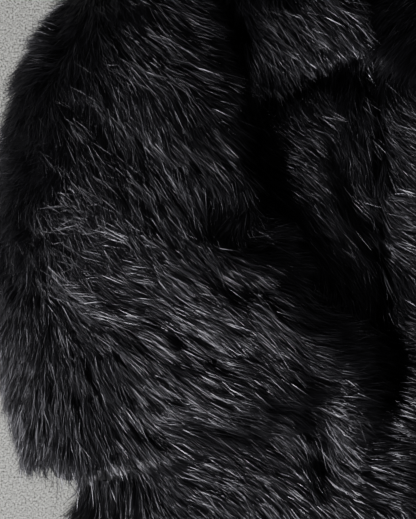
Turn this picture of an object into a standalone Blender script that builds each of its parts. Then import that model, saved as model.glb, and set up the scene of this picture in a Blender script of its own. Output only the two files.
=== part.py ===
"""Faux fur jacket, laid out on its back with one sleeve folded across the front.

Metres, +Z up; the jacket rests on the plane Z = 0 with its collar towards +Y.
The plan is worked out in millimetres: x from the centre front towards the
wearer's left, y from the hem towards the collar. Every wall reaches as far as
the pile does: the cloth under it is about 2 mm thick.
"""

import math
from collections import namedtuple

import bmesh
import bpy
import numpy as np

MM = 0.001
COLLECTION = "faux_fur_jacket"

# Body, laid flat, pile included
HEM_HALF = 300.0
HIP_HALF = 296.0
WAIST_HALF = 288.0
CHEST_HALF = 278.0
SHOULDER_HALF = 210.0
NECK_HALF = 75.0
HIP_HEIGHT = 110.0
WAIST_HEIGHT = 240.0
UNDERARM_HEIGHT = 414.0
SHOULDER_HEIGHT = 604.0
FRONT_NECK_HEIGHT = 556.0
NECK_HEIGHT = 644.0
BACK_NECK_DROP = 16.0
HEM_DIP = 4.0
HEM_CORNER = 9.0
ARMHOLE_SCOOP = 22.0
ARMHOLE_BLEND = 150.0

# Layers, from the floor up
SEAM_GAP = 0.3
ARMHOLE_CLEARANCE = 1.6
BACK_THICKNESS = 12.0
FRONT_THICKNESS = 18.0
COLLAR_THICKNESS = 21.0
FRONT_FLOOR = BACK_THICKNESS + SEAM_GAP
BODY_TOP = FRONT_FLOOR + FRONT_THICKNESS
LAID_ON_BODY = BODY_TOP + SEAM_GAP

# A piece that lies over the body's edge comes down to the floor past it
OVERHANG_START = 12.0
OVERHANG_REACH = 26.0

# Sleeve tube
SLEEVE_WALL = 19.0
SLIT_HALF = 1.4
SLIT_EDGE_POINTS = 2.0

# Turns of a quarter circle where a rounded edge has its sections, and the share
# of a narrow strip's width that one rounded edge may take
EDGE_ANGLES = (0.0, 24.0, 46.0, 67.0, 90.0)
EDGE_LIMIT = 0.46
CURVE_STEPS = 40
MERGE_DISTANCE = 0.00001

Material = namedtuple("Material", "colour roughness metallic")
BLACK_FUR = Material((0.020, 0.020, 0.024), 0.55, 0.0)
DEEP_FUR = Material((0.014, 0.014, 0.017), 0.60, 0.0)

# A section's form: radii of its upper and lower edges, and of the strip's start
# and end; the height at which upper and lower side meet; how many points lie
# between the edges, and the distance between sections
Form = namedtuple("Form", "edge lip start end rim middles step")
BACK_FORM = Form(edge=12.0, lip=9.0, start=12.0, end=8.0, rim=6.0, middles=9, step=40.0)
FRONT_FORM = Form(edge=20.0, lip=8.0, start=16.0, end=12.0, rim=7.0, middles=6, step=31.0)
COLLAR_FORM = Form(edge=30.0, lip=8.0, start=20.0, end=20.0, rim=8.0, middles=2, step=28.0)
FOLDED_FORM = Form(edge=62.0, lip=20.0, start=38.0, end=13.0, rim=15.0, middles=5, step=25.0)
STRAIGHT_FORM = Form(edge=58.0, lip=20.0, start=9.0, end=12.0, rim=17.0, middles=3, step=40.0)

# Front and back: a row across from the side seam or armhole to the front's edge,
# which runs up the centre and then round the neck
BodyRow = namedtuple("BodyRow", "name side_x side_y front_x front_y")


def armhole(share):
    """A point of the armhole line, from the underarm (0) to the shoulder (1)."""
    start = np.array([CHEST_HALF, UNDERARM_HEIGHT])
    chord = np.array([SHOULDER_HALF, SHOULDER_HEIGHT]) - start
    inward = np.array([-chord[1], chord[0]]) / np.linalg.norm(chord)
    return start + chord * share + inward * ARMHOLE_SCOOP * 4 * share * (1 - share)


BODY_ROWS = (
    BodyRow("hem", HEM_HALF - HEM_CORNER, 0.0, 0.0, -HEM_DIP),
    BodyRow("hem corner", HEM_HALF, 2 * HEM_CORNER, 0.0, 2 * HEM_CORNER - HEM_DIP),
    BodyRow("hip", HIP_HALF, HIP_HEIGHT, 0.0, HIP_HEIGHT - HEM_DIP),
    BodyRow("waist", WAIST_HALF, WAIST_HEIGHT, 0.0, WAIST_HEIGHT),
    BodyRow("ribs", 281.0, 335.0, 0.0, 335.0),
    BodyRow("underarm", *armhole(0.0), 0.0, 414.0),
    BodyRow("low armhole", *armhole(0.25), 0.0, 464.0),
    BodyRow("mid armhole", *armhole(0.5), 0.0, 509.0),
    BodyRow("chest", *armhole(0.72), 0.0, 542.0),
    BodyRow("neck point", *armhole(0.79), 6.0, FRONT_NECK_HEIGHT),
    BodyRow("low neck", *armhole(0.86), 34.0, 576.0),
    BodyRow("high neck", *armhole(0.93), 60.0, 606.0),
    BodyRow("shoulder", *armhole(1.0), NECK_HALF, NECK_HEIGHT),
)

# Collar leaf of the wearer's right side, from its front edge to the centre back:
# where it is sewn to the neck, and its outer edge
LeafRow = namedtuple("LeafRow", "name neck_x neck_y outer_x outer_y")
COLLAR_ROWS = (
    LeafRow("front edge", -2.0, 528.0, -137.0, 467.0),
    LeafRow("leaf point", -5.0, 549.0, -138.0, 490.0),
    LeafRow("leaf", -22.0, 580.0, -130.0, 545.0),
    LeafRow("side neck", -49.0, 612.0, -133.0, 600.0),
    LeafRow("shoulder", -65.0, 634.0, -124.0, 648.0),
    LeafRow("roll", -54.0, 642.0, -88.0, 676.0),
    LeafRow("back roll", -27.0, 634.5, -42.0, 689.0),
    LeafRow("centre back", 0.0, 630.0, 0.0, 693.0),
)

# Sleeves, from the shoulder to the cuff: outer edge, inner edge, height of the crown
SleeveRow = namedtuple("SleeveRow", "name outer_x outer_y inner_x inner_y crown")
FOLDED_ROWS = (
    SleeveRow("cap", -252.0, 622.0, -184.0, 630.0, 50.0),
    SleeveRow("shoulder", -288.0, 590.0, -168.0, 592.0, 62.0),
    SleeveRow("upper arm", -319.0, 548.0, -166.0, 548.0, 70.0),
    SleeveRow("upper arm", -345.0, 499.0, -152.0, 494.0, 75.0),
    SleeveRow("upper arm", -363.0, 444.0, -139.0, 444.0, 78.0),
    SleeveRow("above elbow", -373.0, 389.0, -127.0, 390.0, 80.0),
    SleeveRow("above elbow", -379.0, 334.0, -112.0, 352.0, 81.0),
    SleeveRow("elbow", -380.0, 279.0, -98.0, 328.0, 82.0),
    SleeveRow("elbow", -375.0, 224.0, -88.0, 314.0, 84.0),
    SleeveRow("elbow", -363.0, 170.0, -81.0, 303.0, 85.0),
    SleeveRow("elbow", -349.0, 114.0, -78.0, 296.0, 84.0),
    SleeveRow("elbow", -316.0, 78.0, -76.0, 289.0, 82.0),
    SleeveRow("elbow", -262.0, 89.0, -73.0, 283.0, 80.0),
    SleeveRow("forearm", -206.0, 112.0, -69.0, 276.0, 78.0),
    SleeveRow("forearm", -149.0, 126.0, -60.0, 265.0, 76.0),
    SleeveRow("forearm", -82.0, 133.0, -44.0, 248.0, 73.0),
    SleeveRow("cuff", -12.0, 137.0, -23.0, 226.0, 69.0),
)
STRAIGHT_ROWS = (
    SleeveRow("armhole", 211.5, 604.5, 279.5, 413.0, 40.0),
    SleeveRow("cap", 285.0, 596.0, 285.0, 405.0, 46.0),
    SleeveRow("cap", 356.0, 572.0, 293.0, 396.0, 48.0),
    SleeveRow("upper arm", 416.0, 530.0, 306.0, 379.0, 49.0),
    SleeveRow("upper arm", 463.0, 478.0, 332.0, 347.0, 50.0),
    SleeveRow("elbow", 520.0, 408.0, 376.0, 295.0, 49.0),
    SleeveRow("forearm", 576.0, 336.0, 434.0, 227.0, 47.0),
    SleeveRow("forearm", 628.0, 264.0, 493.0, 158.0, 46.0),
    SleeveRow("cuff", 673.0, 198.0, 549.0, 92.0, 44.0),
)

# Folds: a soft ridge (or a trough, where height is negative) along a line
Fold = namedtuple("Fold", "name x0 y0 x1 y1 height half_width")
FRONT_FOLDS = (
    Fold("chest swell", -82.0, 452.0, -60.0, 368.0, 9.0, 20.0),
    Fold("hollow at the collar", -100.0, 430.0, -118.0, 395.0, -5.0, 14.0),
    Fold("front edge swell", 4.0, 86.0, -12.0, 34.0, 9.0, 22.0),
    Fold("hem swell", -205.0, 40.0, -70.0, 60.0, 8.0, 24.0),
    Fold("hollow under the elbow", -262.0, 96.0, -256.0, 30.0, -6.0, 22.0),
    Fold("hollow beside the cuff", -4.0, 300.0, 4.0, 172.0, -5.0, 16.0),
    Fold("waist break", 250.0, 235.0, 120.0, 262.0, 6.0, 20.0),
    Fold("chest break", 190.0, 470.0, 100.0, 360.0, 6.0, 22.0),
    Fold("hip swell", 60.0, 60.0, 215.0, 90.0, 6.0, 26.0),
)
COLLAR_FOLDS = (
    Fold("leaf swell", -112.0, 515.0, -82.0, 560.0, 4.0, 20.0),
    Fold("leaf swell", 112.0, 515.0, 82.0, 560.0, 4.0, 20.0),
)
FOLDED_FOLDS = (
    Fold("elbow crease", -122.0, 326.0, -172.0, 362.0, -15.0, 13.0),
    Fold("elbow crease", -80.0, 302.0, -140.0, 288.0, -15.0, 12.0),
    Fold("elbow pinch", -112.0, 338.0, -92.0, 312.0, 7.0, 9.0),
    Fold("upper arm parting", -262.0, 424.0, -218.0, 402.0, -7.0, 9.0),
    Fold("upper arm parting", -300.0, 462.0, -268.0, 436.0, -5.0, 10.0),
    Fold("forearm parting", -206.0, 228.0, -154.0, 222.0, -8.0, 9.0),
    Fold("upper arm swell", -250.0, 500.0, -200.0, 455.0, 4.0, 26.0),
    Fold("elbow swell", -292.0, 262.0, -246.0, 216.0, 8.0, 24.0),
    Fold("elbow swell", -214.0, 300.0, -174.0, 262.0, 6.0, 22.0),
    Fold("forearm swell", -196.0, 206.0, -130.0, 170.0, 5.0, 24.0),
    Fold("forearm swell", -118.0, 262.0, -62.0, 226.0, 5.0, 20.0),
    Fold("cuff hollow", -66.0, 204.0, -48.0, 172.0, -12.0, 14.0),
    Fold("cuff hollow", -96.0, 166.0, -62.0, 150.0, -8.0, 13.0),
)
STRAIGHT_FOLDS = (
    Fold("elbow break", 382.0, 322.0, 450.0, 360.0, -7.0, 13.0),
    Fold("elbow break", 418.0, 286.0, 468.0, 330.0, -5.0, 11.0),
    Fold("cap break", 300.0, 440.0, 352.0, 500.0, -5.0, 15.0),
    Fold("forearm swell", 470.0, 250.0, 560.0, 260.0, 4.0, 24.0),
)

Section = namedtuple("Section", "near far crown end_share")


def rounded(distance, radius):
    """Height share of a rounded edge: 0 on the edge, 1 from the radius on."""
    inward = np.clip(np.asarray(distance, float) / radius, 0.0, 1.0)
    return np.sqrt(1.0 - (1.0 - inward) ** 2)


def edge_steps(radius):
    """Distances from an edge at which its rounding has a section."""
    return np.array([radius * (1.0 - math.cos(math.radians(a))) for a in EDGE_ANGLES])


def spread(length, radius, middles):
    """Distances from one edge to the other, closer together near both."""
    reach = min(radius, EDGE_LIMIT * length)
    near = edge_steps(reach)
    middle = np.linspace(reach, length - reach, middles + 2)[1:-1]
    return np.concatenate([near, middle, length - near[::-1]])


def smooth_table(table, places):
    """Values of the table's columns at fractional rows, on a smooth curve."""
    values = np.array(table, float)
    last = len(values) - 1
    found = []
    for place in places:
        row = min(int(place), last - 1)
        t = place - row
        before = values[max(row - 1, 0)]
        start, end = values[row], values[row + 1]
        after = values[min(row + 2, last)]
        found.append(
            0.5
            * (
                2 * start
                + (end - before) * t
                + (2 * before - 5 * start + 4 * end - after) * t**2
                + (3 * start - before - 3 * end + after) * t**3
            )
        )
    return np.array(found)


def sections(table, form):
    """Sections along a strip whose table gives near x, y, far x, y and crown."""
    dense = np.linspace(0.0, len(table) - 1, CURVE_STEPS * len(table))
    line = smooth_table(table, dense)
    middle = 0.5 * (line[:, 0:2] + line[:, 2:4])
    steps = np.linalg.norm(np.diff(middle, axis=0), axis=1)
    along = np.concatenate([[0.0], np.cumsum(steps)])
    length = along[-1]
    count = max(2, round((length - form.start - form.end) / form.step))
    middle = np.linspace(form.start, length - form.end, count + 1)[1:-1]
    last = length - edge_steps(form.end)[::-1]
    distances = np.concatenate([edge_steps(form.start), middle, last])
    rows = smooth_table(table, np.interp(distances, along, dense))
    shares = rounded(distances, form.start) * rounded(length - distances, form.end)
    return [Section(r[0:2], r[2:4], r[4], s) for r, s in zip(rows, shares)]


def relief(points, folds):
    """Height that the folds add at each plan point."""
    height = np.zeros(len(points))
    for fold in folds:
        start = np.array([fold.x0, fold.y0])
        run = np.array([fold.x1, fold.y1]) - start
        share = np.clip((points - start) @ run / (run @ run), 0.0, 1.0)
        away = np.linalg.norm(points - start - share[:, None] * run, axis=1)
        height += fold.height * np.exp(-((away / fold.half_width) ** 2))
    return height


def back_line(row, share):
    """The back's section line at one row: a straight run with the shoulder's rise."""
    rise = np.clip(share, 0.0, 1.0) ** 2
    side_x = row[0]
    xs = spread(2 * side_x, BACK_FORM.edge, BACK_FORM.middles) - side_x
    slope = np.clip((side_x - np.abs(xs)) / (side_x - NECK_HALF), 0.0, 1.0)
    dip = BACK_NECK_DROP * np.clip(1.0 - (xs / NECK_HALF) ** 2, 0.0, 1.0)
    ys = row[1] + rise * ((NECK_HEIGHT - SHOULDER_HEIGHT) * slope - dip)
    return np.column_stack([xs, ys])


def fronts_outline():
    """Corners of the two fronts' joint outline in plan, round the neck opening."""
    places = np.linspace(0.0, len(BODY_ROWS) - 1, len(EDGE_ANGLES) * len(BODY_ROWS))
    side = smooth_table([(r.side_x, r.side_y) for r in BODY_ROWS], places)
    neck = [(r.front_x, r.front_y) for r in reversed(BODY_ROWS) if r.front_x > 0.0]
    right = [tuple(p) for p in side] + neck + [(0.0, FRONT_NECK_HEIGHT)]
    left = [(-x, y) for x, y in reversed(right[:-1])]
    return np.array(right + left)


OUTLINE = fronts_outline()


def outside(points):
    """Distance of each plan point from the fronts' outline, negative inside it."""
    starts, ends = OUTLINE, np.roll(OUTLINE, -1, axis=0)
    runs = ends - starts
    offset = points[:, None, :] - starts[None]
    share = np.clip((offset * runs).sum(2) / (runs * runs).sum(1), 0.0, 1.0)
    away = np.linalg.norm(offset - share[..., None] * runs, axis=2).min(1)
    above = starts[None, :, 1] > points[:, None, 1]
    crosses = above != (ends[None, :, 1] > points[:, None, 1])
    level = points[:, None, 1] - starts[None, :, 1]
    rise = np.where(runs[:, 1] == 0, 1.0, runs[:, 1])
    at = starts[None, :, 0] + level * runs[None, :, 0] / rise
    inside = (crosses & (points[:, None, 0] < at)).sum(1) % 2 == 1
    return np.where(inside, -away, away)


def floor_on_fronts(points):
    """Height a piece rests at: on the fronts, and on the floor well past them."""
    past = np.clip((outside(points) - OVERHANG_START) / OVERHANG_REACH, 0.0, 1.0)
    return LAID_ON_BODY * (1.0 - past * past * (3.0 - 2.0 * past))


def flat_floor(height):
    """A floor at one height for every plan point."""
    return lambda points: np.full(len(points), height)


def ring(line, section, form, floor, folds):
    """A closed section ring over a plan line: its upper side, then its lower."""
    steps = np.linalg.norm(np.diff(line, axis=0), axis=1)
    along = np.concatenate([[0.0], np.cumsum(steps)])
    inward = np.minimum(along, along[-1] - along)
    edge = min(form.edge, EDGE_LIMIT * along[-1])
    under = floor(line)
    share = along / along[-1]
    rim = form.rim + (1.0 - share) * under[0] + share * under[-1]
    body = rounded(inward, edge) * section.end_share
    top = rim + (section.crown - rim) * body + relief(line, folds) * body
    low = rim - (rim - under) * rounded(inward, min(form.lip, edge)) * section.end_share
    upper = np.column_stack([line, top])
    lower = np.column_stack([line, low])
    return np.concatenate([upper, lower[-2:0:-1]])


def strip_line(section, form, bow=0.0):
    """A plan line across a strip, bowed to its left where bow is positive."""
    run = section.far - section.near
    length = np.linalg.norm(run)
    share = spread(length, form.edge, form.middles) / length
    side = np.array([-run[1], run[0]]) / length
    sweep = bow * 4 * share * (1 - share)
    return section.near + share[:, None] * run + sweep[:, None] * side


def slab_rings(cuts, form, floor, folds):
    """Section rings of a flat-lying panel."""
    return [ring(strip_line(cut, form), cut, form, floor, folds) for cut in cuts]


def slit_ring(line, skin):
    """The inside of a flattened tube at one section: a closed flat slit."""
    count = len(line)
    upper = skin[:count, 2]
    lower = np.concatenate([upper[:1], skin[:count - 1:-1, 2], upper[-1:]])
    middle = 0.5 * (line[0] + line[-1])
    width = np.linalg.norm(line[-1] - line[0])
    plan = middle + (line - middle) * (width - 2 * SLEEVE_WALL) / width
    from_edge = np.minimum(np.arange(count), np.arange(count)[::-1])
    lens = SLIT_HALF * rounded(from_edge, SLIT_EDGE_POINTS)
    above = np.column_stack([plan, 0.5 * (upper + lower) + lens])
    below = np.column_stack([plan, 0.5 * (upper + lower) - lens])
    return np.concatenate([above, below[-2:0:-1]])


def tube_rings(table, form, floor, folds, bow=0.0, bow_reach=1.0):
    """Rings of a flattened tube: out along its outside and back along its inside."""
    outer, inner = [], []
    shoulder = np.array(table[0][0:2])
    for section in sections(table, form):
        away = np.linalg.norm(section.near - shoulder)
        line = strip_line(section, form, bow * max(0.0, 1.0 - away / bow_reach) ** 2)
        skin = ring(line, section._replace(end_share=1.0), form, floor, folds)
        slit = slit_ring(line, skin)
        wall = 0.5 * (skin + slit)
        outer.append(wall + (skin - wall) * section.end_share)
        inner.append(wall + (slit - wall) * section.end_share)
    return outer + inner[-2:0:-1]


def loft(name, rings, material, looped):
    """A closed mesh object through rings of equal counts, merged where they meet."""
    mesh = bpy.data.meshes.new(name)
    shape = bmesh.new()
    loops = [[shape.verts.new(point * MM) for point in points] for points in rings]
    pairs = list(zip(loops, loops[1:] + loops[:1]))
    if not looped:
        pairs = pairs[:-1]
    for one, two in pairs:
        for place in range(len(one)):
            after = (place + 1) % len(one)
            shape.faces.new((one[place], one[after], two[after], two[place]))
    bmesh.ops.remove_doubles(shape, verts=shape.verts, dist=MERGE_DISTANCE)
    if shape.calc_volume(signed=True) < 0.0:
        bmesh.ops.reverse_faces(shape, faces=shape.faces)
    shape.to_mesh(mesh)
    shape.free()
    mesh.shade_smooth()
    mesh.materials.append(material)
    made = bpy.data.objects.new(name, mesh)
    bpy.data.collections[COLLECTION].objects.link(made)
    return made


def fur_material(name, finish):
    """A plain dark finish for a fur panel."""
    material = bpy.data.materials.new(name)
    material.use_nodes = True
    shader = material.node_tree.nodes["Principled BSDF"]
    shader.inputs["Base Color"].default_value = (*finish.colour, 1.0)
    shader.inputs["Roughness"].default_value = finish.roughness
    shader.inputs["Metallic"].default_value = finish.metallic
    return material


def back():
    """The back, one panel on the floor under everything else."""
    table = [(r.side_x, r.side_y, -r.side_x, r.side_y, BACK_THICKNESS) for r in BODY_ROWS]
    rings = []
    for section in sections(table, BACK_FORM):
        share = (section.near[1] - UNDERARM_HEIGHT) / (SHOULDER_HEIGHT - UNDERARM_HEIGHT)
        line = back_line(section.near, share)
        rings.append(ring(line, section, BACK_FORM, flat_floor(0.0), ()))
    return loft("back", rings, fur_material("back_fur", DEEP_FUR), False)


def front(name, side):
    """One front: side is -1 for the wearer's right and 1 for the left."""
    half_gap = 0.5 * SEAM_GAP
    table = []
    for row in BODY_ROWS:
        edge_x = max(row.front_x, half_gap)
        table.append((side * row.side_x, row.side_y, side * edge_x, row.front_y, BODY_TOP))
    cuts = sections(table, FRONT_FORM)
    for cut in cuts:
        cut.far[0] = side * max(side * cut.far[0], half_gap)
    rings = slab_rings(cuts, FRONT_FORM, flat_floor(FRONT_FLOOR), FRONT_FOLDS)
    return loft(name, rings, fur_material(name + "_fur", BLACK_FUR), False)


def collar():
    """The collar, from one leaf's front edge round the neck to the other's."""
    crown = LAID_ON_BODY + COLLAR_THICKNESS
    half = [(r.neck_x, r.neck_y, r.outer_x, r.outer_y, crown) for r in COLLAR_ROWS]
    other = [(-nx, ny, -ox, oy, z) for nx, ny, ox, oy, z in reversed(half[:-1])]
    cuts = sections(half + other, COLLAR_FORM)
    rings = slab_rings(cuts, COLLAR_FORM, floor_on_fronts, COLLAR_FOLDS)
    return loft("collar", rings, fur_material("collar_fur", BLACK_FUR), False)


def folded_sleeve():
    """The wearer's right sleeve, bent at the elbow and laid across the front."""
    table = [r[1:] for r in FOLDED_ROWS]
    rings = tube_rings(table, FOLDED_FORM, floor_on_fronts, FOLDED_FOLDS)
    return loft("sleeve_right", rings, fur_material("sleeve_right_fur", BLACK_FUR), True)


def straight_sleeve():
    """The wearer's left sleeve, laid out straight on the floor beside the body."""
    table = [r[1:] for r in STRAIGHT_ROWS]
    rings = tube_rings(
        table,
        STRAIGHT_FORM,
        flat_floor(0.0),
        STRAIGHT_FOLDS,
        bow=ARMHOLE_CLEARANCE - ARMHOLE_SCOOP,
        bow_reach=ARMHOLE_BLEND,
    )
    return loft("sleeve_left", rings, fur_material("sleeve_left_fur", BLACK_FUR), True)


def centre_on_floor(objects):
    """Move every mesh so that the middle of the whole plan is at the origin."""
    corners = np.array([v.co[:] for o in objects for v in o.data.vertices])
    middle = 0.5 * (corners.min(0) + corners.max(0))
    for o in objects:
        for vertex in o.data.vertices:
            vertex.co.x -= middle[0]
            vertex.co.y -= middle[1]


def main():
    for o in list(bpy.data.objects):
        bpy.data.objects.remove(o, do_unlink=True)
    home = bpy.data.collections.new(COLLECTION)
    bpy.context.scene.collection.children.link(home)
    pieces = [
        back(),
        front("front_right", -1),
        front("front_left", 1),
        collar(),
        folded_sleeve(),
        straight_sleeve(),
    ]
    centre_on_floor(pieces)


main()
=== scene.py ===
"""Looks of the faux fur jacket: its long black pile, the cloth that carries it, floor and light."""

import math
from collections import namedtuple  # noqa: E402

import bmesh  # noqa: E402
import bpy  # noqa: E402
import numpy as np  # noqa: E402
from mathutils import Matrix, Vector  # noqa: E402
from mathutils.bvhtree import BVHTree  # noqa: E402


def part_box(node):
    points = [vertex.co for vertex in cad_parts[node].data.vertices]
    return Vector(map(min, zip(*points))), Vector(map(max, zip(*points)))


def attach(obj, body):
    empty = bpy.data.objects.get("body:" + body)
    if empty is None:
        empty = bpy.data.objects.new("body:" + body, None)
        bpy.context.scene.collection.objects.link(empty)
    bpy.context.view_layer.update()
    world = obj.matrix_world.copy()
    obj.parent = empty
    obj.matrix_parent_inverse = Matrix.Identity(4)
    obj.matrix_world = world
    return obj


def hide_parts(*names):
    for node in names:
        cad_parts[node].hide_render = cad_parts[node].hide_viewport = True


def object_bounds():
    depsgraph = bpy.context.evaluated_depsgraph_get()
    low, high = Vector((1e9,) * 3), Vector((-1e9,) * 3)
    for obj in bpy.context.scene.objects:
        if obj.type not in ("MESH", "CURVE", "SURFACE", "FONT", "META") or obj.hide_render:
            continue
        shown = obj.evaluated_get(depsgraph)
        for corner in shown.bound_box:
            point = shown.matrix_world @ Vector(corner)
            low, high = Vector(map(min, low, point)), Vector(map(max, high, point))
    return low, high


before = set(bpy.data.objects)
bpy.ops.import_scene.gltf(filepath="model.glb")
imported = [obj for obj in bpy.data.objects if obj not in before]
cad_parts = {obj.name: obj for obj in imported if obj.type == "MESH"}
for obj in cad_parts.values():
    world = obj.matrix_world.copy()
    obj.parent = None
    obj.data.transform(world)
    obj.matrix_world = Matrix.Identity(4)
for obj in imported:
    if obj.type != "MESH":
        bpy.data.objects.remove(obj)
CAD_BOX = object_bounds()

MM = 0.001
SEED = 7

# Plan positions are in millimetres from the centre front at the hem, x towards the
# wearer's left and y towards the collar. The back panel's box says where that is.
BACK_LOW, BACK_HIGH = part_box("back")
HEM_CENTRE = np.array([0.5 * (BACK_LOW[0] + BACK_HIGH[0]), BACK_LOW[1], 0.0]) / MM

# Beyond this box each point of a hair is drawn back by a share of what it goes past
FRINGE_LOW = np.array(CAD_BOX[0]) / MM - HEM_CENTRE - np.array([20.0, 14.0, 0.0])
FRINGE_HIGH = np.array(CAD_BOX[1]) / MM - HEM_CENTRE + np.array([20.0, 14.0, 5.0])
FRINGE_DRAWN_BACK = 0.7

# The part of the jacket that the photo shows, with a margin: its pile is the densest
SHOWN_LOW = np.array([-392.0, 32.0])
SHOWN_HIGH = np.array([58.0, 592.0])

# Pile: lengths in millimetres, densities in hairs per square millimetre
HAIR_LENGTH = 40.0
HAIR_WIDTH = 0.52
WIDTH_SPREAD = (0.6, 1.25)
PLAIN_WIDER = 1.45
LOCK_SIZE = 9.0
SHOWN_DENSITY = 0.82
PLAIN_DENSITY = 0.215
UNDER_DENSITY = 0.033
# Shares of the shown density: on steep sides, and on edges that the pile above hangs over
STEEP_SHARE = 0.5
BARE_SHARE = 0.05
# The pile is thin in the pocket below the elbow, up to this plan place
POCKET_SHARE = 0.5
POCKET = (-210.0, 94.0)
HAIRS_PER_PIECE = 65000
GUARD_SHARE = 0.25
STRAY_SHARE = 0.03
FLOOR_CLEARANCE = 0.9
# On steep sides the hair is rooted less deep
SIDE_DEPTH_SHARE = 0.6

# Along a hair, from its root to its tip: each step's share of the length, how far the
# step stays from the cloth's own surface, how it closes on its lock, and its rise
STEPS = (0.44, 0.56)
CAPS = (6.0, 17.0)
GATHER = (0.26, 0.34)
RISES = (0.95, 1.05)
# How freely hair stands off an edge that faces its own way, and how its tips close there
STAND = 0.85
TUFT = 0.5
# Lengths as shares of the usual length: a lock's least, what its own number adds, each
# hair's spread, and what a guard hair adds, kept between the shortest and the longest
LOCK_LENGTH = 0.72
LOCK_ADDS = 0.3
LENGTH_SPREAD = 0.1
GUARD_ADDS = 0.12
LENGTH_LIMITS = (0.4, 1.3)
# A trim takes no more than the first share, and at least the second from any lock
MOST_TRIMMED = 0.85
LEAST_OF_TRIM = 0.4
# Height of the hair over the cloth: the lowest, what a lock adds, and each hair's spread
LOW_LEVEL = 0.2
LOCK_LEVEL = 4.4
LEVEL_SPREAD = 0.9
GUARD_LEVEL = (0.5, 2.4)
# How far a hair may stand off, as a share of the step's limit
LOOSE_HAIR = (0.65, 1.15)
LOOSE_LOCK = 0.5
LOOSE_LOCK_ADDS = 0.75
LOOSE_MESS = 0.4
LOOSE_STRAY = 1.6
# A blade's roll about its own line, in radians, and its width at root and middle
ROLL_SPREAD = 0.85
TAPER = (0.85, 1.0)

# The root colour is darker as painted shade in the depth of the pile.
ROOT_BLACK_AND_SHADE = (0.0006, 0.0006, 0.0008)
TIP_BLACK = (0.0016, 0.0015, 0.0021)
# The grey tip on a random share of hairs is partly frosted tips and partly painted highlight for
# the strands' gloss.
TIP_GREY_AND_SHEEN = (0.028, 0.0265, 0.033)
SLIVER = 0.004

# Camera: straight above, one picture pixel for each millimetre of the jacket
PICTURE = (416, 519)
PICTURE_CENTRE = np.array([-164.0, 309.5])
CAMERA_HEIGHT = 1050.0
PILE_LEVEL = 45.0
SENSOR = 36.0

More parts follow.
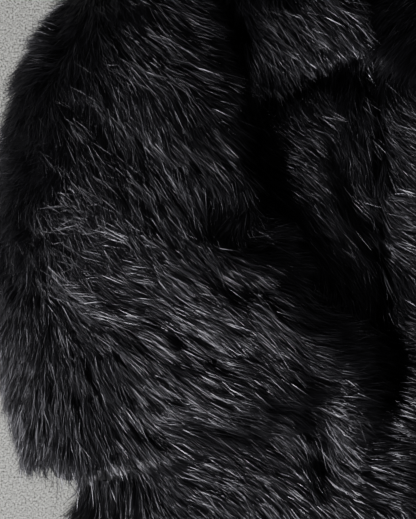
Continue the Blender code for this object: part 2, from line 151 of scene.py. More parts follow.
# How the pile is combed: at a plan place, the direction that the hair lies in (0 is
# towards the wearer's left, -90 towards the hem) and how tousled it is. In the shown part
# the directions follow strand directions measured in the photo; elsewhere they are guessed.
Comb = namedtuple("Comb", "name x y degrees mess")
SLEEVE_RIGHT_COMB = (
    Comb("outer edge, top", -312, 545, -168, 0.5),
    Comb("outer edge, top", -328, 510, -166, 0.5),
    Comb("outer edge, top", -344, 475, -132, 0.6),
    Comb("outer strip", -334, 450, -96, 1.0),
    Comb("outer strip", -334, 420, -96, 1.0),
    Comb("outer strip", -334, 392, -118, 1.0),
    Comb("outer strip", -334, 362, -116, 1.0),
    Comb("outer strip", -333, 332, -100, 1.0),
    Comb("outer strip", -333, 300, -104, 0.5),
    Comb("outer strip", -333, 266, -100, 0.4),
    Comb("outer edge", -352, 420, -120, 0.9),
    Comb("outer edge", -362, 350, -105, 0.8),
    Comb("outer edge", -362, 270, -98, 0.6),
    Comb("outer edge", -350, 200, -97, 0.3),
    Comb("outer edge, elbow", -338, 140, -92, 0.2),
    Comb("shoulder", -285, 540, -95, 0.6),
    Comb("shoulder", -248, 540, -68, 0.4),
    Comb("shoulder", -205, 540, -45, 0.2),
    Comb("shoulder", -165, 530, -20, 0.2),
    Comb("upper arm", -280, 502, -98, 0.6),
    Comb("upper arm", -250, 500, -56, 0.4),
    Comb("upper arm", -222, 500, -44, 0.2),
    Comb("upper arm", -190, 500, -30, 0.1),
    Comb("upper arm, inner edge", -158, 500, -20, 0.1),
    Comb("upper arm", -320, 455, -92, 0.7),
    Comb("upper arm", -298, 455, -74, 0.6),
    Comb("upper arm", -272, 455, -72, 0.5),
    Comb("upper arm", -245, 455, -68, 0.3),
    Comb("upper arm", -215, 455, -72, 0.2),
    Comb("upper arm", -188, 455, -66, 0.1),
    Comb("upper arm, inner edge", -150, 455, -34, 0.1),
    Comb("upper arm", -322, 410, -100, 0.8),
    Comb("upper arm", -300, 410, -108, 0.7),
    Comb("upper arm", -274, 410, -66, 0.5),
    Comb("upper arm", -240, 408, -62, 0.4),
    Comb("upper arm", -200, 408, -58, 0.2),
    Comb("upper arm, inner edge", -150, 410, -54, 0.1),
    Comb("upper arm, inner edge", -170, 425, -60, 0.2),
    Comb("upper arm, inner edge", -148, 384, -64, 0.3),
    Comb("upper arm", -305, 365, -42, 1.0),
    Comb("upper arm", -270, 365, -62, 0.7),
    Comb("upper arm", -276, 386, -60, 0.6),
    Comb("upper arm", -250, 378, -66, 0.3),
    Comb("upper arm", -248, 346, -56, 0.3),
    Comb("upper arm", -225, 360, -66, 0.2),
    Comb("upper arm", -190, 365, -62, 0.2),
    Comb("inner elbow crease", -166, 352, -92, 0.7),
    Comb("inner elbow crease", -143, 346, -138, 0.5),
    Comb("inner elbow crease", -143, 363, -128, 0.5),
    Comb("inner elbow pinch", -112, 338, -18, 0.4),
    Comb("inner elbow pinch", -88, 334, -18, 0.3),
    Comb("inner elbow crease", -114, 314, 8, 0.5),
    Comb("inner elbow crease", -88, 312, -10, 0.4),
    Comb("above the elbow", -300, 325, -44, 0.9),
    Comb("above the elbow", -270, 318, -32, 0.6),
    Comb("above the elbow", -240, 312, -36, 0.2),
    Comb("above the elbow", -210, 315, -50, 0.2),
    Comb("above the elbow", -172, 315, -54, 0.2),
    Comb("above the elbow", -170, 288, -46, 0.2),
    Comb("above the elbow", -143, 286, -54, 0.2),
    Comb("above the elbow", -143, 306, -36, 0.3),
    Comb("whorl", -306, 278, -34, 0.7),
    Comb("whorl", -308, 240, -92, 0.4),
    Comb("elbow", -276, 268, -25, 0.2),
    Comb("elbow", -240, 275, -21, 0.1),
    Comb("elbow", -200, 285, -26, 0.1),
    Comb("elbow", -278, 238, -44, 0.2),
    Comb("elbow", -330, 235, -90, 0.4),
    Comb("forearm", -168, 262, -26, 0.1),
    Comb("forearm", -118, 284, -50, 0.2),
    Comb("forearm", -90, 289, -46, 0.2),
    Comb("forearm", -90, 268, -38, 0.1),
    Comb("forearm", -62, 252, -30, 0.1),
    Comb("forearm", -205, 240, -24, 0.1),
    Comb("forearm", -145, 235, -25, 0.1),
    Comb("forearm", -100, 230, -35, 0.1),
    Comb("forearm", -62, 226, -22, 0.1),
    Comb("cuff", -36, 232, 4, 0.1),
    Comb("cuff", -24, 205, 6, 0.1),
    Comb("cuff hollow", -62, 192, -28, 0.6),
    Comb("cuff hollow", -46, 172, -24, 0.6),
    Comb("cuff", -18, 178, -18, 0.2),
    Comb("cuff", -14, 150, -18, 0.2),
    Comb("under the elbow", -278, 208, -66, 0.1),
    Comb("under the elbow", -308, 200, -90, 0.2),
    Comb("under the elbow", -250, 208, -58, 0.1),
    Comb("under the elbow", -224, 200, -40, 0.1),
    Comb("forearm", -190, 200, -34, 0.1),
    Comb("forearm", -145, 195, -29, 0.1),
    Comb("forearm", -100, 192, -34, 0.1),
    Comb("elbow, lower", -305, 160, -84, 0.1),
    Comb("elbow, lower", -278, 160, -73, 0.1),
    Comb("elbow, lower", -250, 165, -58, 0.1),
    Comb("elbow, lower", -224, 165, -43, 0.1),
    Comb("forearm, lower", -190, 160, -14, 0.1),
    Comb("forearm, lower", -145, 158, -17, 0.1),
    Comb("forearm, lower", -95, 160, -10, 0.3),
    Comb("elbow, hem side", -305, 110, -90, 0.1),
    Comb("elbow, hem side", -278, 112, -84, 0.1),
    Comb("elbow, hem side", -250, 118, -70, 0.2),
    Comb("elbow, hem side", -222, 122, -50, 0.2),
    Comb("forearm, hem side", -195, 130, -10, 0.2),
    Comb("forearm, hem side", -150, 130, -11, 0.2),
    Comb("forearm, hem side", -105, 135, -20, 0.3),
    Comb("forearm, hem side", -60, 142, -44, 0.4),
)
BODY_COMB = (
    Comb("beside the sleeve", -135, 470, -60, 0.3),
    Comb("beside the sleeve", -118, 420, -52, 0.3),
    Comb("below the collar", -80, 474, -95, 0.4),
    Comb("below the collar", -40, 488, -98, 0.5),
    Comb("chest", -92, 440, -30, 0.2),
    Comb("chest", -62, 456, -36, 0.2),
    Comb("chest", -112, 388, -28, 0.2),
    Comb("chest", -80, 405, -38, 0.1),
    Comb("chest", -60, 380, -42, 0.1),
    Comb("chest", -50, 355, -46, 0.2),
    Comb("chest hollow", -26, 440, -84, 0.5),
    Comb("chest hollow", -18, 400, -84, 0.5),
    Comb("chest hollow", -22, 365, -62, 0.4),
    Comb("beside the elbow", -40, 318, -50, 0.4),
    Comb("beside the elbow", -52, 285, -86, 0.4),
    Comb("front edge", -6, 460, -92, 0.4),
    Comb("front edge", -6, 420, -86, 0.3),
    Comb("front edge", -4, 340, -86, 0.4),
    Comb("front edge", -24, 366, -80, 0.4),
    Comb("front edge", -8, 290, -70, 0.3),
    Comb("front edge", -10, 255, -92, 0.4),
    Comb("other front", 16, 440, -40, 0.2),
    Comb("other front", 18, 340, -26, 0.2),
    Comb("other front", 18, 230, -22, 0.2),
    Comb("beside the cuff", 0, 205, -20, 0.2),
    Comb("beside the cuff", 4, 165, -16, 0.1),
    Comb("below the cuff", -6, 125, -4, 0.1),
    Comb("below the cuff", -8, 90, -14, 0.1),
    Comb("below the cuff", -35, 118, -58, 0.3),
    Comb("below the cuff", -58, 122, -68, 0.3),
    Comb("below the cuff", -48, 92, -55, 0.2),
    Comb("below the cuff", -90, 125, -38, 0.2),
    Comb("hem", -40, 60, -42, 0.1),
    Comb("hem", -95, 90, -34, 0.1),
    Comb("hem", -140, 100, -24, 0.1),
    Comb("hem", -90, 60, -48, 0.1),
    Comb("hem", -140, 65, -40, 0.1),
    Comb("hem", -195, 75, -38, 0.2),
    Comb("hem", -185, 102, -22, 0.2),
    Comb("side, under the elbow", -222, 85, -60, 0.2),
    Comb("side, under the elbow", -250, 75, -84, 0.3),
    Comb("side, under the elbow", -280, 80, -98, 0.3),
    Comb("side, under the elbow", -298, 60, -130, 0.3),
    Comb("side", -200, 20, -60, 0.3),
    Comb("shoulder", -180, 560, -110, 0.3),
    Comb("shoulder", 180, 560, -70, 0.3),
    Comb("other chest", 130, 450, -82, 0.3),
    Comb("other armhole", 230, 380, -66, 0.3),
    Comb("other waist", 130, 250, -72, 0.3),
    Comb("other side", 230, 150, -88, 0.3),
    Comb("other hem", 120, 60, -78, 0.3),
    Comb("hem middle", 0, 20, -60, 0.2),
)
COLLAR_COMB = (
    Comb("leaf point", -122, 500, -72, 0.4),
    Comb("leaf", -95, 520, -60, 0.4),
    Comb("leaf", -62, 532, -50, 0.4),
    Comb("leaf", -30, 540, -48, 0.4),
    Comb("leaf, outer edge", -128, 545, -55, 0.3),
    Comb("shoulder", -120, 600, -125, 0.3),
    Comb("back roll", -95, 650, 150, 0.3),
    Comb("centre back", 0, 670, 90, 0.4),
    Comb("back roll", 95, 650, 30, 0.3),
    Comb("shoulder", 120, 600, -55, 0.3),
    Comb("leaf, outer edge", 128, 545, -100, 0.3),
    Comb("leaf", 82, 524, -122, 0.2),
    Comb("leaf", 22, 539, -130, 0.2),
    Comb("leaf point", 122, 500, -112, 0.3),
)
SLEEVE_LEFT_COMB = (
    Comb("cap", 230, 570, -25, 0.3),
    Comb("cap", 300, 500, -40, 0.2),
    Comb("upper arm", 400, 520, -38, 0.2),
    Comb("upper arm", 320, 390, -62, 0.3),
    Comb("upper arm", 430, 420, -52, 0.2),
    Comb("elbow", 500, 420, -36, 0.2),
    Comb("elbow", 400, 280, -68, 0.3),
    Comb("forearm", 520, 280, -52, 0.2),
    Comb("forearm", 600, 280, -38, 0.3),
    Comb("cuff", 560, 130, -62, 0.2),
    Comb("cuff", 640, 190, -48, 0.2),
)

# A line drawn in plan, with its half width and how strongly it bears on the pile
Line = namedtuple("Line", "name x0 y0 x1 y1 half_width amount")

# Where the pile parts and sinks, by an amount in millimetres
PARTINGS = (
    Line("below the collar", -104, 490, 4, 498, 13, 8),
    Line("chest hollow", -44, 448, -22, 356, 17, 8),
    Line("front edge", -16, 384, 4, 316, 15, 8),
    Line("beside the bump", -130, 442, -116, 384, 10, 6),
    Line("upper arm", -258, 424, -216, 402, 9, 5),
    Line("upper arm", -300, 462, -270, 438, 10, 4),
    Line("inner elbow", -158, 356, -132, 340, 10, 9),
    Line("inner elbow", -118, 318, -84, 308, 9, 8),
    Line("whorl", -302, 262, -284, 254, 12, 8),
    Line("forearm", -190, 232, -158, 224, 8, 6),
    Line("cuff hollow", -66, 206, -46, 168, 14, 5),
    Line("cuff hollow", -98, 166, -62, 150, 8, 6),
    Line("forearm, hem side", -232, 142, -92, 128, 13, 7),
    Line("below the cuff", -50, 146, -40, 80, 15, 10),
    Line("under the elbow", -312, 74, -222, 80, 24, 12),
)
COMB_REACH = 20.0

# Where the pile is ragged: the amount is the share that its shortest locks lack
TRIMS = (
    Line("elbow, hem side", -330, 118, -232, 126, 16, 0.35),
    Line("edge of the leaf", -126, 490, -10, 526, 15, 0.7),
)


def from_plan(x, y, z=0.0):
    """A plan position in millimetres as a place in the frame, in metres."""
    return Vector((HEM_CENTRE + np.array([x, y, z])) * MM)


def unit(rows):
    """Each row as a vector of length one."""
    return rows / np.maximum(np.linalg.norm(rows, axis=1, keepdims=True), 1e-12)


class Skin:
    """The surface of CAD solids, in millimetres of the plan, merged and smooth."""

    def __init__(self, *nodes):
        self.shape = bmesh.new()
        for node in nodes:
            self.shape.from_mesh(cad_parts[node].data)
        bmesh.ops.remove_doubles(self.shape, verts=self.shape.verts, dist=0.00002)
        bmesh.ops.triangulate(self.shape, faces=self.shape.faces)
        for vertex in self.shape.verts:
            vertex.co = vertex.co / MM - Vector(HEM_CENTRE)
        self.shape.normal_update()
        self.shape.verts.ensure_lookup_table()
        self.points = np.array([v.co[:] for v in self.shape.verts])
        self.normals = np.array([v.normal[:] for v in self.shape.verts])
        self.faces = np.array([[v.index for v in f.verts] for f in self.shape.faces])
        self.tree = BVHTree.FromBMesh(self.shape)

    def at(self, places, faces):
        """Smooth normals at places on the given faces."""
        a, b, c = (self.points[self.faces[faces, k]] for k in range(3))
        across = np.cross(b - a, c - a)
        area = np.maximum((across * across).sum(1), 1e-12)
        share_b = (np.cross(places - a, c - a) * across).sum(1) / area
        share_c = (np.cross(b - a, places - a) * across).sum(1) / area
        shares = np.clip(np.column_stack([1 - share_b - share_c, share_b, share_c]), 0, 1)
        found = sum(shares[:, k : k + 1] * self.normals[self.faces[faces, k]] for k in range(3))
        return unit(found)

    def nearest(self, places):
        """The nearest places on the surface, and the smooth normals there."""
        find = self.tree.find_nearest
        hits = [find(p) for p in places.tolist()]
        on = np.array([h[0][:] for h in hits])
        return on, self.at(on, np.array([h[2] for h in hits]))


def covered(skins, places):
    """Which plan places have another solid above them, and so has the ground around them."""
    reach = 26.0
    steps = [(0, 0), (reach, 0), (-reach, 0), (0, reach), (0, -reach)]
    hidden = np.ones(len(places), bool)
    up = Vector((0, 0, 1))
    for dx, dy in steps:
        for i in np.flatnonzero(hidden):
            x, y, z = places[i]
            start = Vector((x + dx, y + dy, z + 1.0))
            hidden[i] = any(s.tree.ray_cast(start, up, 150.0)[0] is not None for s in skins)
    return hidden


def scatter(skin, density, draw):
    """Random places on a surface, with their normals; density gives hairs per square mm."""
    a, b, c = (skin.points[skin.faces[:, k]] for k in range(3))
    across = np.cross(b - a, c - a)
    area = 0.5 * np.linalg.norm(across, axis=1)
    middle = (a + b + c) / 3
    wanted = area * density(middle, unit(across))
    total = int(wanted.sum())
    chosen = draw.choice(len(area), size=total, p=wanted / wanted.sum())
    u, v = draw.random(total), draw.random(total)
    over = u + v > 1
    u[over], v[over] = 1 - u[over], 1 - v[over]
    places = a[chosen] + u[:, None] * (b - a)[chosen] + v[:, None] * (c - a)[chosen]
    return places, skin.at(places, chosen)


def combed(table, places):
    """Combing direction in plan, in radians, and messiness at each place."""
    heads = np.array([(c.x, c.y) for c in table], float)
    turns = np.radians([c.degrees for c in table])
    away = ((places[:, None, 0:2] - heads[None]) ** 2).sum(2)
    away -= away.min(1, keepdims=True)
    weight = np.exp(-away / COMB_REACH**2)
    weight /= weight.sum(1, keepdims=True)
    flow = weight @ np.column_stack([np.cos(turns), np.sin(turns)])
    mess = weight @ np.array([c.mess for c in table])
    return np.arctan2(flow[:, 1], flow[:, 0]), mess


def near_lines(lines, places):
    """How much the lines drawn in plan bear on each place."""
    total = np.zeros(len(places))
    for line in lines:
        start = np.array([line.x0, line.y0], float)
        run = np.array([line.x1, line.y1], float) - start
        share = np.clip((places[:, 0:2] - start) @ run / (run @ run), 0, 1)
        away = np.linalg.norm(places[:, 0:2] - start - share[:, None] * run, axis=1)
        total += line.amount * np.exp(-((away / line.half_width) ** 2))
    return total


def locks(places, draw):
    """For each place, the centre of its lock and that lock's own random numbers."""
    flat = places[:, 0:2] + 0.7 * places[:, 2:3]
    cell = np.floor(flat / LOCK_SIZE).astype(int)
    jitter = draw.random((512, 512, 5))
    best = np.full(len(places), np.inf)
    centre = np.zeros((len(places), 2))
    own = np.zeros((len(places), 3))
    for dx in (-1, 0, 1):
        for dy in (-1, 0, 1):
            near = cell + (dx, dy)
            dice = jitter[near[:, 0] % 512, near[:, 1] % 512]
            middle = (near + dice[:, 0:2]) * LOCK_SIZE
            away = ((flat - middle) ** 2).sum(1)
            closer = away < best
            best = np.where(closer, away, best)
            centre[closer] = middle[closer]
            own[closer] = dice[closer, 2:5]
    return centre - flat, own


def hair_lines(ground, places, normals, table, depth, draw):
    """Three points along each hair, from its root in the cloth to its tip."""
    count = len(places)
    turn, mess = combed(table, places)
    to_lock, own = locks(places, draw)
    lean = (own[:, 0] - 0.5) * (0.30 + 1.0 * mess)
    lean += draw.normal(0, 1, count) * (0.07 + 0.22 * mess)
    bend = draw.normal(0, 0.50, count) * (0.12 + mess)
    guard = draw.random(count) < GUARD_SHARE
    stray = draw.random(count) < STRAY_SHARE
    share = LOCK_LENGTH + LOCK_ADDS * own[:, 1] + draw.normal(0, LENGTH_SPREAD, count)
    length = HAIR_LENGTH * (share + GUARD_ADDS * guard)
    length = length.clip(LENGTH_LIMITS[0] * HAIR_LENGTH, LENGTH_LIMITS[1] * HAIR_LENGTH)
    trim = np.minimum(near_lines(TRIMS, places), MOST_TRIMMED)
    length *= 1.0 - trim * (LEAST_OF_TRIM + (1 - LEAST_OF_TRIM) * own[:, 1])
    level = LOW_LEVEL + LOCK_LEVEL * own[:, 2] + draw.normal(0, LEVEL_SPREAD, count)
    level += guard * draw.uniform(*GUARD_LEVEL, count)
    loose = draw.uniform(*LOOSE_HAIR, count) * (LOOSE_LOCK + LOOSE_LOCK_ADDS * own[:, 1])
    loose *= 1.0 + LOOSE_MESS * mess
    loose[stray] = LOOSE_STRAY
    line = [places - normals * depth[:, None]]
    spot, normal = places, normals
    for k in range(len(STEPS)):
        heading = turn + lean + bend * (k - 0.4)
        way = np.column_stack([np.cos(heading), np.sin(heading), np.zeros(count)])
        steep = np.clip(1.0 - np.abs(normal[:, 2]), 0, 1)
        way[:, 2] -= 0.7 * steep**2
        outward = (way * normal).sum(1)
        outward *= np.where(outward > 0, 1 - STAND, 1.0)
        way = unit(way - outward[:, None] * normal)
        ahead = spot + way * (length * STEPS[k])[:, None]
        ahead[:, 0:2] += to_lock * GATHER[k]
        on, found = ground.nearest(ahead)
        out = ahead - on
        far = np.linalg.norm(out, axis=1)
        keep = np.minimum(1.0, CAPS[k] * loose / np.maximum(far, 1e-6))
        spot = on + out * keep[:, None]
        if k == len(STEPS) - 1:
            spot[:, 0:2] += to_lock * (TUFT * np.clip(far / CAPS[k] - 0.3, 0, 1))[:, None]
        normal = unit(0.5 * found + 0.5 * normal)
        height = -depth + (depth + level) * RISES[k] - near_lines(PARTINGS, spot)
        height = np.maximum(height, -depth)
        line.append(spot + normal * height[:, None])
        turn, _ = combed(table, spot)
    points = np.stack(line, 1)
    past = np.maximum(points - FRINGE_HIGH, 0) + np.minimum(points - FRINGE_LOW, 0)
    points -= FRINGE_DRAWN_BACK * past
    points[:, :, 2] = np.maximum(points[:, :, 2], FLOOR_CLEARANCE)
    return points, np.stack([normals, normal], 1)


def hair_mesh(name, points, facing, widths, draw):
    """One joined mesh of tapered blades along the hairs' lines."""
    count = len(points)
    along = np.gradient(points, axis=1)
    along /= np.maximum(np.linalg.norm(along, axis=2, keepdims=True), 1e-9)
    roll = draw.normal(0, ROLL_SPREAD, count)
    mix = np.linspace(0, 1, 3)[None, :, None]
    up = facing[:, 0:1] * (1 - mix) + facing[:, 1:2] * mix
    side = np.cross(along, up)
    side /= np.maximum(np.linalg.norm(side, axis=2, keepdims=True), 1e-9)
    lift = np.cross(side, along)
    across = side * np.cos(roll)[:, None, None] + lift * np.sin(roll)[:, None, None]
    taper = np.array(TAPER)
    half = 0.5 * widths[:, None, None] * taper[None, :, None] * across[:, 0:2]
    corners = np.empty((count, 5, 3))
    corners[:, 0:4:2] = points[:, 0:2] - half
    corners[:, 1:4:2] = points[:, 0:2] + half
    corners[:, 4] = points[:, 2]
    order = np.array([0, 1, 3, 2, 2, 3, 4])
    loops = (5 * np.arange(count)[:, None] + order).ravel()
    mesh = bpy.data.meshes.new(name)
    mesh.vertices.add(5 * count)
    mesh.vertices.foreach_set("co", ((corners + HEM_CENTRE) * MM).astype(np.float32).ravel())
    mesh.loops.add(len(loops))
    mesh.loops.foreach_set("vertex_index", loops.astype(np.int32))
    starts = (7 * np.arange(count)[:, None] + np.array([0, 4])).ravel()
    mesh.polygons.add(2 * count)
    mesh.polygons.foreach_set("loop_start", starts.astype(np.int32))
    mesh.update(calc_edges=True)
    mesh.polygons.foreach_set("use_smooth", np.ones(2 * count, bool))
    layer = mesh.uv_layers.new(name="OFBake")
    u = draw.random(count) * (1 - SLIVER)
    high = np.array([0.0, 0.0, 0.5, 0.5, 1.0]) * 0.98 + 0.01
    wide = np.array([0.0, 1.0, 0.0, 1.0, 0.5]) * SLIVER
    uv = np.stack([u[:, None] + wide[order], np.broadcast_to(high[order], (count, 7))], 2)
    layer.data.foreach_set("uv", uv.astype(np.float32).ravel())
    mesh.validate()
    return mesh


def add_object(name, mesh, material):
    """An object in the scene, riding with the jacket."""
    mesh.materials.clear()
    mesh.materials.append(material)
    made = bpy.data.objects.new(name, mesh)
    bpy.context.scene.collection.objects.link(made)
    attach(made, "root")
    return made


def tone_group():
    """Colour and roughness along a hair: u tells hairs apart, v runs from root to tip. Darker
    towards the root as painted shade, and a random share of grey tips, partly frosted and partly
    painted highlight.
    """
    group = bpy.data.node_groups.new("hair_tone", "ShaderNodeTree")
    face = group.interface
    for name in ("Root", "Tip", "Frosted Tip And Sheen"):
        face.new_socket(name, in_out="INPUT", socket_type="NodeSocketColor")
    face.new_socket("Colour", in_out="OUTPUT", socket_type="NodeSocketColor")
    face.new_socket("Roughness", in_out="OUTPUT", socket_type="NodeSocketFloat")
    nodes, links = group.nodes, group.links
    entry = nodes.new("NodeGroupInput")
    result = nodes.new("NodeGroupOutput")
    place = nodes.new("ShaderNodeUVMap")
    place.uv_map = "OFBake"
    split = nodes.new("ShaderNodeSeparateXYZ")
    links.new(place.outputs["UV"], split.inputs["Vector"])
    dice = nodes.new("ShaderNodeTexNoise")
    dice.noise_dimensions = "1D"
    dice.inputs["Scale"].default_value = 60.0
    dice.inputs["Detail"].default_value = 1.0
    links.new(split.outputs["X"], dice.inputs["W"])
    # A random share of the hairs gets the grey tip: partly frosted tips, partly painted highlight
    # standing in for their gloss
    frost_and_sheen = nodes.new("ShaderNodeMapRange")
    frost_and_sheen.inputs["From Min"].default_value = 0.48
    frost_and_sheen.inputs["From Max"].default_value = 0.70
    links.new(dice.outputs["Fac"], frost_and_sheen.inputs["Value"])
    end = nodes.new("ShaderNodeMix")
    end.data_type = "RGBA"
    links.new(frost_and_sheen.outputs["Result"], end.inputs["Factor"])
    links.new(entry.outputs["Tip"], end.inputs["A"])
    links.new(entry.outputs["Frosted Tip And Sheen"], end.inputs["B"])
    # Darker towards the root: painted shade in the depth of the pile
    along = nodes.new("ShaderNodeMath")
    along.operation = "POWER"
    along.inputs[1].default_value = 1.4
    links.new(split.outputs["Y"], along.inputs[0])
    root_shade_to_tip = nodes.new("ShaderNodeMix")
    root_shade_to_tip.data_type = "RGBA"
    links.new(along.outputs[0], root_shade_to_tip.inputs["Factor"])
    links.new(entry.outputs["Root"], root_shade_to_tip.inputs["A"])
    links.new(end.outputs["Result"], root_shade_to_tip.inputs["B"])
    links.new(root_shade_to_tip.outputs["Result"], result.inputs["Colour"])
    rough = nodes.new("ShaderNodeMapRange")
    rough.inputs["From Min"].default_value = 0.3
    rough.inputs["From Max"].default_value = 0.7
    rough.inputs["To Min"].default_value = 0.27
    rough.inputs["To Max"].default_value = 0.44
    links.new(dice.outputs["Fac"], rough.inputs["Value"])
    links.new(rough.outputs["Result"], result.inputs["Roughness"])
    return group


def pile_material(name, group, root, tip, frost_and_sheen):
    """Glossy near-black hair, greyer towards its tip: the darker root is painted shade, and the
    grey tips of some hairs are partly frosted, partly painted highlight.
    """
    material = bpy.data.materials.new(name)
    material.use_nodes = True
    nodes, links = material.node_tree.nodes, material.node_tree.links
    shader = nodes["Principled BSDF"]
    tone = nodes.new("ShaderNodeGroup")
    tone.node_tree = group
    tone.inputs["Root"].default_value = (*root, 1)
    tone.inputs["Tip"].default_value = (*tip, 1)
    tone.inputs["Frosted Tip And Sheen"].default_value = (*frost_and_sheen, 1)
    links.new(tone.outputs["Colour"], shader.inputs["Base Color"])
    links.new(tone.outputs["Roughness"], shader.inputs["Roughness"])
    shader.inputs["Specular IOR Level"].default_value = 1.0
    shader.inputs["Specular Tint"].default_value = (0.92, 0.90, 1.0, 1)
    return material


def cloth_material():
    """The knitted black backing that carries the pile."""
    material = bpy.data.materials.new("backing_cloth")
    material.use_nodes = True
    nodes, links = material.node_tree.nodes, material.node_tree.links
    shader = nodes["Principled BSDF"]
    place = nodes.new("ShaderNodeTexCoord")
    ribs = nodes.new("ShaderNodeTexWave")
    ribs.inputs["Scale"].default_value = 260.0
    ribs.inputs["Distortion"].default_value = 1.5
    links.new(place.outputs["Object"], ribs.inputs["Vector"])
    bump = nodes.new("ShaderNodeBump")
    bump.inputs["Strength"].default_value = 0.4
    bump.inputs["Distance"].default_value = 0.0004
    links.new(ribs.outputs["Fac"], bump.inputs["Height"])
    links.new(bump.outputs["Normal"], shader.inputs["Normal"])
    tint = nodes.new("ShaderNodeMix")
    tint.data_type = "RGBA"
    tint.inputs["A"].default_value = (0.004, 0.004, 0.005, 1)
    tint.inputs["B"].default_value = (0.010, 0.010, 0.012, 1)
    links.new(ribs.outputs["Fac"], tint.inputs["Factor"])
    links.new(tint.outputs["Result"], shader.inputs["Base Color"])
    shader.inputs["Roughness"].default_value = 0.9
    return material


def backing(node, skin, inset, squash, material):
    """The cloth under one piece's pile: the solid's form, taken in by the pile's depth."""
    shape = skin.shape.copy()
    low = min(v.co.z for v in shape.verts)
    start, keep = squash
    for vertex in shape.verts:
        place = vertex.co - vertex.normal * inset
        if keep < 1:
            place.z = low + start + (place.z - low - inset) * keep
        vertex.co = (place + Vector(HEM_CENTRE)) * MM
    shape.normal_update()
    mesh = bpy.data.meshes.new(node + "_backing")
    shape.to_mesh(mesh)
    shape.free()
    mesh.shade_smooth()
    return add_object(node + "_backing", mesh, material)


Panel = namedtuple("Panel", "node comb inset squash depth hidden_below")
PANELS = (
    Panel("back", BODY_COMB, 3.0, (8.0, 0.35), 3.0, 2.0),
    Panel("front_right", BODY_COMB, 5.5, (2.0, 0.30), 8.0, -0.25),
    Panel("front_left", BODY_COMB, 5.5, (2.0, 0.30), 8.0, -0.25),
    Panel("collar", COLLAR_COMB, 6.0, (0.0, 1.0), 8.0, -0.4),
    Panel("sleeve_right", SLEEVE_RIGHT_COMB, 10.0, (0.0, 1.0), 8.0, -0.45),
    Panel("sleeve_left", SLEEVE_LEFT_COMB, 10.0, (0.0, 1.0), 8.0, -0.4),
)


def bare(node, plan, normal):
    """Steep edges in the shown part that the pile above them hangs over, in plan places."""
    if node == "front_left":
        return (plan[:, 0] < 20) & (normal[:, 0] < -0.25)
    if node == "collar":
        return (plan[:, 0] < 24) & (plan[:, 1] < 560) & (normal[:, 2] < 0.6)
    if node == "sleeve_right":
        return (plan[:, 0] < -222) & (plan[:, 1] < 124) & (normal[:, 1] < -0.2)
    return np.zeros(len(plan), bool)


def density_of(panel):
    """Hairs per square millimetre at a face's middle and normal."""

    def density(middle, normal):
        plan = middle[:, 0:2]
        shown = ((plan > SHOWN_LOW) & (plan < SHOWN_HIGH)).all(1)
        many = np.where(shown, SHOWN_DENSITY, PLAIN_DENSITY)
        many = np.where(shown & (normal[:, 2] < 0.1), STEEP_SHARE * many, many)
        many = np.where(shown & bare(panel.node, plan, normal), BARE_SHARE * many, many)
        many = np.where(shown & (plan < POCKET).all(1), POCKET_SHARE * many, many)
        if panel.node == "back":
            return np.where(normal[:, 2] < 0.4, UNDER_DENSITY, 0.0)
        under = UNDER_DENSITY if panel.node == "sleeve_left" else 0.0
        return np.where(normal[:, 2] < panel.hidden_below, under, many)

    return density


def inside_tube(skin, places, normals):
    """Which places lie on a flattened tube's inner side, facing its other half."""
    found = np.zeros(len(places), bool)
    cast = skin.tree.ray_cast
    for i, (p, n) in enumerate(zip(places + normals * 0.3, normals)):
        found[i] = cast(Vector(p), Vector(n), 7.0)[0] is not None
    return found


def add_pile(panel, skins, ground, material, draw):
    """All the hair of one panel, in pieces of a fair size."""
    skin = skins[panel.node]
    places, normals = scatter(skin, density_of(panel), draw)
    if panel.node.startswith("sleeve"):
        keep = ~inside_tube(skin, places, normals)
        places, normals = places[keep], normals[keep]
    others = [s for name, s in skins.items() if name != panel.node]
    top = normals[:, 2] > -0.2
    hidden = np.zeros(len(places), bool)
    if panel.node != "back":
        hidden[top] = covered(others, places[top])
    places, normals = places[~hidden], normals[~hidden]
    order = np.argsort(-places[:, 1])
    places, normals = places[order], normals[order]
    plan = places[:, 0:2]
    shown = ((plan > SHOWN_LOW) & (plan < SHOWN_HIGH)).all(1) & (normals[:, 2] > -0.3)
    depth = np.where(normals[:, 2] > 0.3, panel.depth, SIDE_DEPTH_SHARE * panel.depth)
    points, facing = hair_lines(ground, places, normals, panel.comb, depth, draw)
    widths = HAIR_WIDTH * draw.uniform(*WIDTH_SPREAD, len(places))
    widths *= np.where(shown, 1.0, PLAIN_WIDER)
    made = []
    parts = max(1, math.ceil(len(places) / HAIRS_PER_PIECE))
    for number, chunk in enumerate(np.array_split(np.arange(len(places)), parts)):
        name = f"{panel.node}_pile" if parts == 1 else f"{panel.node}_pile_{number + 1}"
        mesh = hair_mesh(name, points[chunk], facing[chunk], widths[chunk], draw)
        made.append(add_object(name, mesh, material))
    print("PILE", panel.node, len(places))
    return made


# Estimated flat cut of each piece, in metres, and its area in square metres
Cut = namedtuple("Cut", "width length area")


def build_jacket():
    """Cloth and pile of every panel."""
    draw = np.random.default_rng(SEED)
    skins = {panel.node: Skin(panel.node) for panel in PANELS}
    ground = Skin(*skins)
    cloth = cloth_material()
    pile = pile_material("pile", tone_group(), ROOT_BLACK_AND_SHADE, TIP_BLACK, TIP_GREY_AND_SHEEN)
    for panel in PANELS:
        carrier = backing(panel.node, skins[panel.node], panel.inset, panel.squash, cloth)
        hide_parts(panel.node)
        hair = add_pile(panel, skins, ground, pile, draw)


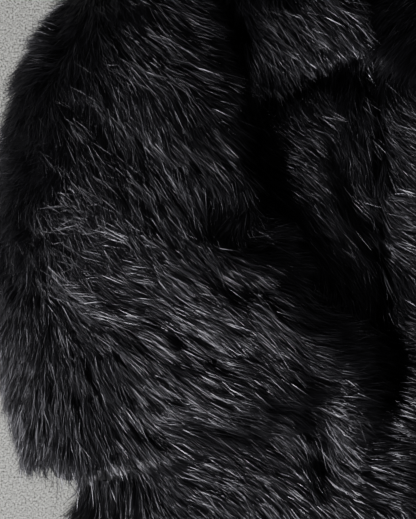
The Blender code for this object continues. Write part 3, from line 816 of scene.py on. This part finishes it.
def floor_material():
    """Pale, faintly speckled carpet."""
    material = bpy.data.materials.new("pale_floor")
    material.use_nodes = True
    nodes, links = material.node_tree.nodes, material.node_tree.links
    shader = nodes["Principled BSDF"]
    place = nodes.new("ShaderNodeTexCoord")
    speck = nodes.new("ShaderNodeTexNoise")
    speck.inputs["Scale"].default_value = 520.0
    speck.inputs["Detail"].default_value = 2.0
    links.new(place.outputs["Object"], speck.inputs["Vector"])
    grain = nodes.new("ShaderNodeMapRange")
    grain.inputs["From Min"].default_value = 0.34
    grain.inputs["From Max"].default_value = 0.66
    links.new(speck.outputs["Fac"], grain.inputs["Value"])
    tint = nodes.new("ShaderNodeMix")
    tint.data_type = "RGBA"
    tint.inputs["A"].default_value = (0.12, 0.12, 0.11, 1)
    tint.inputs["B"].default_value = (0.78, 0.78, 0.74, 1)
    links.new(grain.outputs["Result"], tint.inputs["Factor"])
    links.new(tint.outputs["Result"], shader.inputs["Base Color"])
    shader.inputs["Roughness"].default_value = 0.95
    return material


def add_floor():
    """The pale floor that the jacket lies on."""
    mesh = bpy.data.meshes.new("floor")
    shape = bmesh.new()
    bmesh.ops.create_grid(shape, x_segments=1, y_segments=1, size=9.0)
    shape.to_mesh(mesh)
    shape.free()
    floor = bpy.data.objects.new("floor", mesh)
    mesh.materials.append(floor_material())
    bpy.context.scene.collection.objects.link(floor)


def add_camera():
    """A camera straight above the part of the jacket that the photo shows."""
    data = bpy.data.cameras.new("camera")
    data.sensor_fit = "VERTICAL"
    data.sensor_height = SENSOR
    data.lens = SENSOR * (CAMERA_HEIGHT - PILE_LEVEL) / PICTURE[1]
    data.clip_start = 0.05
    camera = bpy.data.objects.new("camera", data)
    camera.location = from_plan(*PICTURE_CENTRE, CAMERA_HEIGHT)
    bpy.context.scene.collection.objects.link(camera)
    bpy.context.scene.camera = camera


def add_light(name, place, size, power):
    """A soft square light at a place, turned to the middle of the picture."""
    data = bpy.data.lights.new(name, "AREA")
    data.size = size
    data.energy = power
    light = bpy.data.objects.new(name, data)
    light.location = from_plan(*place)
    aim = from_plan(*PICTURE_CENTRE) - light.location
    light.rotation_euler = aim.to_track_quat("-Z", "Y").to_euler()
    bpy.context.scene.collection.objects.link(light)


def add_daylight(place, spread, strength):
    """Even light from a place's direction, which keeps the far floor as pale as the near."""
    data = bpy.data.lights.new("daylight", "SUN")
    data.angle = math.radians(spread)
    data.energy = strength
    light = bpy.data.objects.new("daylight", data)
    aim = from_plan(*PICTURE_CENTRE) - from_plan(*place)
    light.rotation_euler = aim.to_track_quat("-Z", "Y").to_euler()
    bpy.context.scene.collection.objects.link(light)


def aside(turn, rise, reach):
    """A place seen from the middle of the picture at a turn and rise in degrees."""
    flat = reach * math.cos(math.radians(rise))
    x = PICTURE_CENTRE[0] + flat * math.cos(math.radians(turn))
    y = PICTURE_CENTRE[1] + flat * math.sin(math.radians(turn))
    return x, y, reach * math.sin(math.radians(rise))


def add_world():
    """Air that is pale near the horizon and dim overhead."""
    world = bpy.data.worlds.new("studio")
    world.use_nodes = True
    nodes, links = world.node_tree.nodes, world.node_tree.links
    place = nodes.new("ShaderNodeTexCoord")
    split = nodes.new("ShaderNodeSeparateXYZ")
    links.new(place.outputs["Generated"], split.inputs["Vector"])
    fade = nodes.new("ShaderNodeMapRange")
    fade.interpolation_type = "SMOOTHSTEP"
    fade.inputs["From Min"].default_value = 0.0
    fade.inputs["From Max"].default_value = 0.16
    fade.inputs["To Min"].default_value = 0.30
    fade.inputs["To Max"].default_value = 0.02
    links.new(split.outputs["Z"], fade.inputs["Value"])
    air = nodes["Background"]
    air.inputs["Color"].default_value = (0.93, 0.95, 1.0, 1)
    links.new(fade.outputs["Result"], air.inputs["Strength"])
    bpy.context.scene.world = world


def add_lights():
    """Soft studio light, mostly from the lower left of the picture."""
    add_light("window", aside(223, 27, 1900), 0.6, 31)
    add_light("side window", aside(176, 22, 2100), 0.9, 27)
    add_light("back window", aside(52, 20, 2200), 1.2, 2)
    add_light("overhead", aside(60, 80, 2600), 2.6, 1.5)
    add_daylight(aside(223, 27, 1900), 16, 1.4)
    add_world()


add_camera()
build_jacket()
add_floor()
add_lights()
